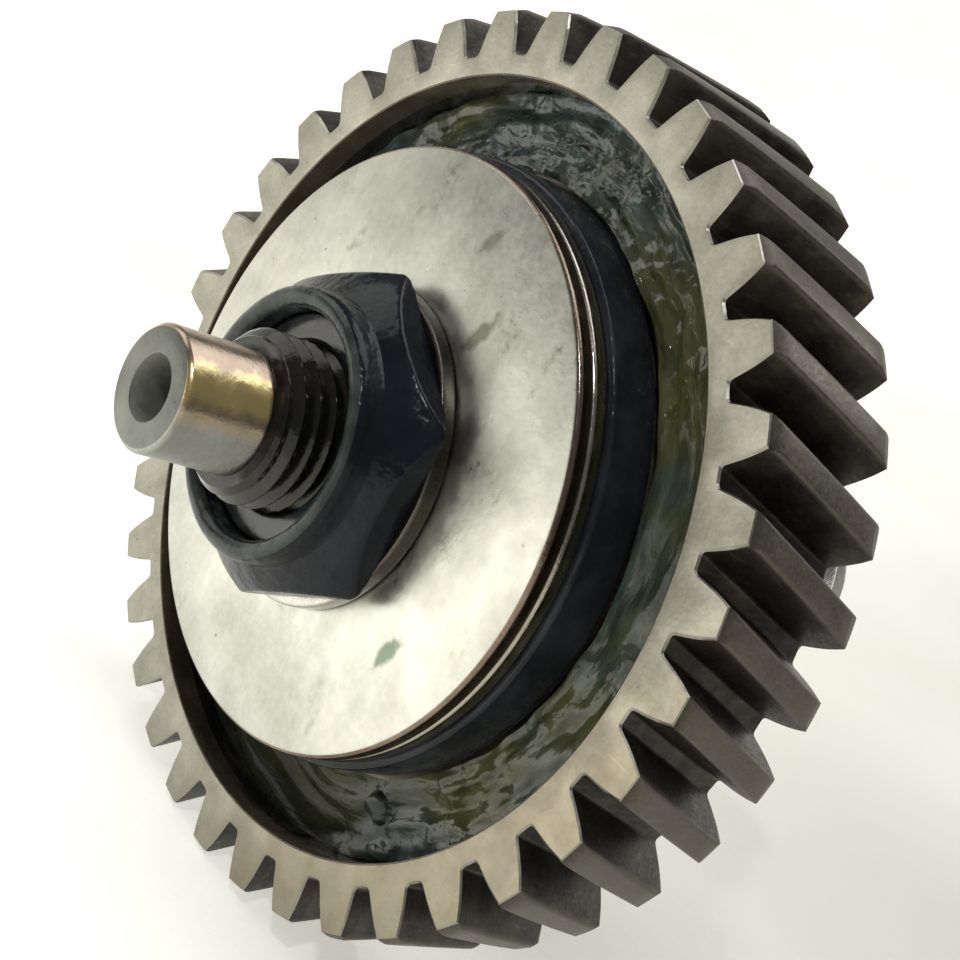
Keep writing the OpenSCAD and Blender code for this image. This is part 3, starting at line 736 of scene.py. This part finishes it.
# ---------------------------------------------------------------- nut, insert and washer
def clutch_nut():
    """Chamfered hexagon that runs up into a round crown with a rolled lip."""
    segments = 360
    flat_r, corner_r, crown_r = 12.8, 14.58, 11.1
    mouth_r, bore_r = insert.r + 0.02, 7.0
    cone_start, cone_end = nut.rear + 0.4, nut.rear + 3.4
    lip_top = nut.front

    def hexagon(angle):
        turn = (angle - math.radians(30)) % math.radians(60) - math.radians(30)
        return flat_r / math.cos(turn)

    rows = [(bore_r, nut.rear + 0.3, False), (bore_r + 0.3, nut.rear, False)]
    rows += [(flat_r - 0.6, nut.rear, True), (corner_r - 0.35, nut.rear, True),
             (corner_r - 0.08, nut.rear + 0.12, True), (corner_r, cone_start, True)]
    steps = 32
    for k in range(1, steps + 1):
        t = k / steps
        bulge = 0.35 * math.sin(math.pi * t)
        rows.append((corner_r - (corner_r - crown_r - 0.4) * t + bulge,
                     cone_start + (cone_end - cone_start) * t, True))
    cup = [(crown_r + 0.12, cone_end + 0.2), (crown_r, cone_end + 0.55)]
    lip_half = (crown_r - mouth_r) / 2
    for k in range(13):
        turn = math.pi * k / 12
        cup.append((crown_r - lip_half + lip_half * math.cos(turn), lip_top - 1 + math.sin(turn)))
    cup += [(mouth_r, insert.rear), (bore_r, insert.rear - 0.5)]
    rows += [(r, s, False) for r, s in cup]
    verts = []
    for r, s, cut in rows:
        for k in range(segments):
            a = 2 * math.pi * k / segments
            if cut:
                side = hexagon(a)
                soft = 0.22
                h = min(1.0, max(0.0, 0.5 + 0.5 * (r - side) / soft))
                radius = r * (1 - h) + side * h - soft * h * (1 - h)
            else:
                radius = r
            verts.append(to_world(radius, a, s))
    faces = grid_faces(len(rows), segments)
    kinds = []
    for r, s, _ in rows:
        # The rolled lip takes the worn black oxide with its painted highlight.
        kinds += [1 if s > lip_top - 0.7 and r < crown_r - 0.25 else 0] * segments
    return piece("clutch_nut_blackened", verts, faces, "shaft", ["clutch_nut"],
                 [BLACK, BLACK_WORN_AND_HIGHLIGHT], kinds, 28)


def plain_ring(name, node, span, bore_r, edge, body, material):
    """A flat ring with rounded edges, as thick and as wide as its CAD node."""
    corners = [(bore_r, span.rear), (span.r, span.rear), (span.r, span.front), (bore_r, span.front)]
    return lathe(name, bevelled(corners, edge), body, [node], [material])


clutch_nut()
plain_ring("nut_insert_ring", "nut_insert", insert, 7.0, 0.35, "shaft", NYLON)
plain_ring("nut_washer_ring", "nut_washer", washer, 7.25, 0.28, "shaft", NUT_WASHER)


# ---------------------------------------------------------------- disc springs and plate
def disc_spring(name, node, span, rim):
    """Coned disc with rounded rim."""
    inner_r, rim_t = 12.7, 1.5
    cone = span.front - span.rear - rim_t
    corners = [(inner_r, span.rear + cone), (span.r, span.rear), (span.r, span.rear + rim_t),
               (inner_r, span.front)]
    outline = bevelled(corners, [0.2, 0.32, 0.42, 0.3], 5)
    made = lathe(name, outline, "shaft", [node], [DISC, rim], 256,
                 lambda r, s: 1 if r > span.r - 0.2 else 0, 40)
    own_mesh(made)
    return made


disc_spring("front_disc_spring_cone", "front_disc_spring", front_spring, DISC_RIM)
# The rear rim is painted paler as a highlight line.
disc_spring("rear_disc_spring_cone", "rear_disc_spring", rear_spring, DISC_RIM_HIGHLIGHT)

boss_r, plate_bore_r = 12.4, 9.05
spring_seat = rear_spring.rear - 0.02
lathe("pressure_plate_body",
      bevelled([(plate_bore_r, plate.rear), (plate.r, plate.rear), (plate.r, spring_seat),
                (boss_r, spring_seat), (boss_r, plate.front), (plate_bore_r, plate.front)],
               [0.3, 0.4, 0.45, 0.1, 0.3, 0.3]),
      "plate", ["pressure_plate"], [PLATE], 256)
lining_bore_r = 14.0
plain_ring("front_friction_ring_pad", "front_friction_ring", front_lining, lining_bore_r, 0.2,
           "plate", LINING)
plain_ring("rear_friction_ring_pad", "rear_friction_ring", rear_lining, lining_bore_r, 0.2,
           "shaft", LINING)
plain_ring("gear_bush_sleeve", "gear_bush", bush, 10.03, 0.25, "gear", BRONZE)


# ---------------------------------------------------------------- grease
def grease_ring():
    """Grease dragged round the recess, with ridges, lumps, one dome and one burst bubble."""
    segments, across = 900, 56
    inner_r, outer_r = plate.r + 0.3, grease.r - 0.02
    floor = grease.rear
    dome, bubble = (28.2, math.radians(-57)), (27.0, math.radians(38))

    def near(r, a, spot, size):
        gap = math.hypot(r - spot[0], spot[0] * math.remainder(a - spot[1], 2 * math.pi))
        return max(0.0, 1 - (gap / size) ** 2)

    def height(r, a):
        share = (r - inner_r) / (outer_r - inner_r)
        x, z = math.cos(a), math.sin(a)
        big = noise.noise(Vector((x * 2.6, z * 2.6, 3.1)))
        ridge = noise.noise(Vector((x * 3.4, z * 3.4, r * 0.62 + 1.5 * big)))
        comb = noise.noise(Vector((x * 6.5, z * 6.5, r * 1.5)))
        lump = noise.noise(Vector((r * x * 0.42, r * z * 0.42, 8.4)))
        busy = max(0.0, math.cos(1.6 * math.remainder(a - math.radians(80), 2 * math.pi)),
                   math.cos(2.2 * math.remainder(a - math.radians(-28), 2 * math.pi)))
        cup = 1.35 + 0.4 * (1 - share) ** 2.5 - 0.6 * share ** 2
        rough = 0.5 * big + 0.55 * ridge + (0.1 + 0.9 * busy) * (0.16 * comb + 0.5 * lump)
        spots = 0.9 * near(r, a, dome, 1.3) ** 0.5 - 0.7 * near(r, a, bubble, 0.55) ** 0.5
        return max(0.35, min(4.0, cup + rough + spots))

    rows = []
    for i in range(across + 1):
        r = inner_r + (outer_r - inner_r) * i / across
        rows.append([(r, floor + height(r, 2 * math.pi * k / segments)) for k in range(segments)])
    rows.append([(outer_r, floor)] * segments)
    rows.append([(inner_r, floor)] * segments)
    verts = [
        to_world(r, 2 * math.pi * k / segments, s) for row in rows for k, (r, s) in enumerate(row)
    ]
    return piece("grease_packing", verts, grid_faces(len(rows), segments), "gear", ["grease_ring"],
                 [GREASE], None, 60)


grease_ring()


# ---------------------------------------------------------------- rear bearing
balls = Span("bearing_balls")
groove_r = (balls.front - balls.rear) / 2 + 0.06
bearing_bore_r = 7.52
track_r = (outer_ring.r + bearing_bore_r) / 2
inner_land_r, outer_land_r = inner_ring.r, front_shield.r
bearing_mid = (outer_ring.front + outer_ring.rear) / 2


def race(name, node, land_r, far_r, far_round, body):
    """Bearing ring with its ball groove."""
    side = 1 if far_r > land_r else -1
    reach = math.sqrt(groove_r ** 2 - (land_r - track_r) ** 2)
    arc = []
    for k in range(13):
        s = -reach + 2 * reach * k / 12
        arc.append((track_r + side * math.sqrt(groove_r ** 2 - s * s), bearing_mid + s))
    ends = [(land_r, outer_ring.rear), (far_r, outer_ring.rear), (far_r, outer_ring.front),
            (land_r, outer_ring.front)]
    body_outline = bevelled(ends, [0.3, far_round, far_round, 0.3], 5)
    outline = body_outline + list(reversed(arc))
    return lathe(name, outline, body, [node], [CHROME], 192)


race("bearing_inner_race", "bearing_inner_ring", inner_land_r, bearing_bore_r, 0.3, "shaft")
race("bearing_outer_race", "bearing_outer_ring", outer_land_r, outer_ring.r, 0.5, "bearing_outer")


def shield(name, node, span, outwards):
    """Pressed sheet with a step near its rim."""
    t = 0.15
    face = span.front if outwards > 0 else span.rear
    step_r = (inner_land_r + outer_land_r) / 2
    levels = [(inner_land_r + 0.15, 0.04), (inner_land_r + 0.5, 0.0), (step_r - 0.15, 0.0),
              (step_r + 0.15, 0.22), (outer_land_r - 0.4, 0.24), (outer_land_r - 0.03, 0.08)]
    near = [(r, face - outwards * d) for r, d in levels]
    far = [(r, face - outwards * (d + t)) for r, d in reversed(levels)]
    outline = bevelled(near + far, 0.1, 3)
    return lathe(name, outline, "bearing_outer", [node], [SHIELD])


shield("bearing_front_shield_cap", "bearing_front_shield", front_shield, 1)
shield("bearing_rear_shield_cap", "bearing_rear_shield", rear_shield, -1)
plain_ring("bearing_spacer_ring", "bearing_spacer", spacer, bearing_bore_r, 0.3, "shaft",
           WASHER)


def carried_over(node, material, bevel_mm=0.0):
    """A CAD node whose shape is right is welded and gets its material.

    Its edges are softened too where bevel_mm is given."""
    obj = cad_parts[node]
    obj.data.materials.clear()
    obj.data.materials.append(material)
    weld = obj.modifiers.new("weld", "WELD")
    weld.merge_threshold = 0.001 * MM
    if bevel_mm:
        soften = obj.modifiers.new("soften", "BEVEL")
        soften.width = bevel_mm * MM
        soften.segments = 2
        soften.limit_method = "ANGLE"
        soften.angle_limit = math.radians(40)
    return obj


carried_over("bearing_balls", CHROME)
carried_over("bearing_cage", BRASS)
carried_over("bearing_circlip", BLACK)
carried_over("pinion_key", WASHER, 0.15)


# ---------------------------------------------------------------- floor, light and camera
def stage_floor():
    """Pale cloth under the gear that sweeps up far behind it; it glows, with painted pools of light
    and painted shadows.
    """
    s = Shader("pale_cloth", Metallic=0.0, Roughness=0.9)
    weave = s.noise(0.9, 2)
    tone = s.mix(s.ramp(s.noise(0.01, 3), 0.35, 0.65), (0.81, 0.785, 0.70), (0.86, 0.85, 0.79))
    s.set("Base Color", tone)
    s.set("Emission Color", tone)

    def glow(x, y, near, far, gain):
        """Share of emission added round a spot on the floor, in millimetres."""
        gap = s.add("ShaderNodeVectorMath", operation="DISTANCE")
        s.link(s.mm, gap.inputs[0])
        gap.inputs[1].default_value = (x, y, cad_box[0].z / MM)
        return s.ramp(gap.outputs["Value"], near, far, gain, 0)

    # The floor glows: painted pools of light in front of the gear, which the disc and gear face
    # reflect, and painted shadows (negative gains) behind it and to its right.
    strength = glow(-35, -110, 48, 95, 1.4)
    pools_and_shadows = (
        (-160, -260, 50, 130, 1.4),
        (-230, -130, 60, 200, 0.7),
        (-340, -310, 60, 220, -0.5),
        (150, 250, 200, 550, -0.75),
        (-5, -30, 15, 60, 0.5),
        (10, 95, 20, 90, -0.2),
    )
    for place in pools_and_shadows:
        strength = s.math("ADD", strength, glow(*place))
    s.set("Emission Strength", s.math("ADD", strength, 0.88))
    s.set("Normal", s.bump(weave, 0.25, 0.2))
    clearance = 0.0001
    level = cad_box[0].z - clearance
    segments, away = 64, math.radians(136)
    flat_r, sweep_r = 0.5, 1.7
    radii = [0.1, 0.25, flat_r] + [flat_r + 0.1 * k for k in range(1, 13)] + [2.5, 4.5, 8.0, 18.0]
    verts = [(0, 0, level)]
    for r in radii:
        for k in range(segments):
            a = 2 * math.pi * k / segments
            steep = 0.9 * max(0.0, min(r, sweep_r) - flat_r) ** 1.5
            rise = steep * max(0.0, math.cos(a - away))
            verts.append((r * math.cos(a), r * math.sin(a), level + rise))
    faces = [(0, 1 + k, 1 + (k + 1) % segments) for k in range(segments)]
    for i in range(len(radii) - 1):
        a, b = 1 + i * segments, 1 + (i + 1) * segments
        for k in range(segments):
            n = (k + 1) % segments
            faces.append((a + k, b + k, b + n, a + n))
    mesh = bpy.data.meshes.new("floor")
    mesh.from_pydata(verts, [], faces)
    mesh.materials.append(s.material)
    mesh.shade_smooth()
    floor = bpy.data.objects.new("floor", mesh)
    bpy.context.scene.collection.objects.link(floor)


def area_light(name, place, aim, size, power, colour=(1, 1, 1)):
    """Soft box at a place in metres, turned to face a point."""
    data = bpy.data.lights.new(name, "AREA")
    data.shape = "RECTANGLE"
    data.size, data.size_y = size
    data.energy = power
    data.color = colour
    obj = bpy.data.objects.new(name, data)
    obj.location = place
    obj.rotation_euler = (Vector(aim) - Vector(place)).to_track_quat("-Z", "Y").to_euler()
    bpy.context.scene.collection.objects.link(obj)


def camera():
    """Looks at the gear from the front right, a little above, rolled to the left."""
    azimuth, elevation, roll = math.radians(46.41), math.radians(13.99), math.radians(29.2)
    distance = 0.15056
    target = Vector((0.00454, -0.00158, 0.00179))
    level = math.cos(elevation)
    back = Vector((math.sin(azimuth) * level, -math.cos(azimuth) * level, math.sin(elevation)))
    right = Vector((math.cos(azimuth), math.sin(azimuth), 0))
    up = back.cross(right)
    turned_right = right * math.cos(roll) + up * math.sin(roll)
    turned_up = back.cross(turned_right)
    data = bpy.data.cameras.new("camera")
    data.lens, data.sensor_width = 68.85, 36
    data.clip_start, data.clip_end = 0.005, 20
    obj = bpy.data.objects.new("camera", data)
    place = target + back * distance
    turn = Matrix((turned_right, turned_up, back)).transposed().to_4x4()
    obj.matrix_world = Matrix.Translation(place) @ turn
    bpy.context.scene.collection.objects.link(obj)
    bpy.context.scene.camera = obj


def world_light():
    world = bpy.data.worlds.new("studio")
    world.use_nodes = True
    background = world.node_tree.nodes["Background"]
    background.inputs["Color"].default_value = (1.0, 0.985, 0.95, 1)
    background.inputs["Strength"].default_value = 0.18
    bpy.context.scene.world = world


stage_floor()
world_light()
area_light("soft_box_left", (-0.35, -0.25, 0.30), (0, 0, 0), (0.3, 0.3), 0.5, (1, 0.98, 0.94))
area_light("lamp_behind", (0.15, 0.335, 0.335), (0, 0, 0), (0.035, 0.035), 0.35, (0.95, 0.98, 1))
area_light("lamp_front", (0.15, -0.30, 0.37), (0, 0, 0), (0.03, 0.03), 0.45, (0.95, 0.98, 1))
area_light("soft_box_top", (-0.05, 0.1, 0.6), (0, 0, 0), (0.5, 0.5), 2.0, (0.97, 0.98, 1))
camera()
bpy.context.scene.view_settings.view_transform = "Standard"
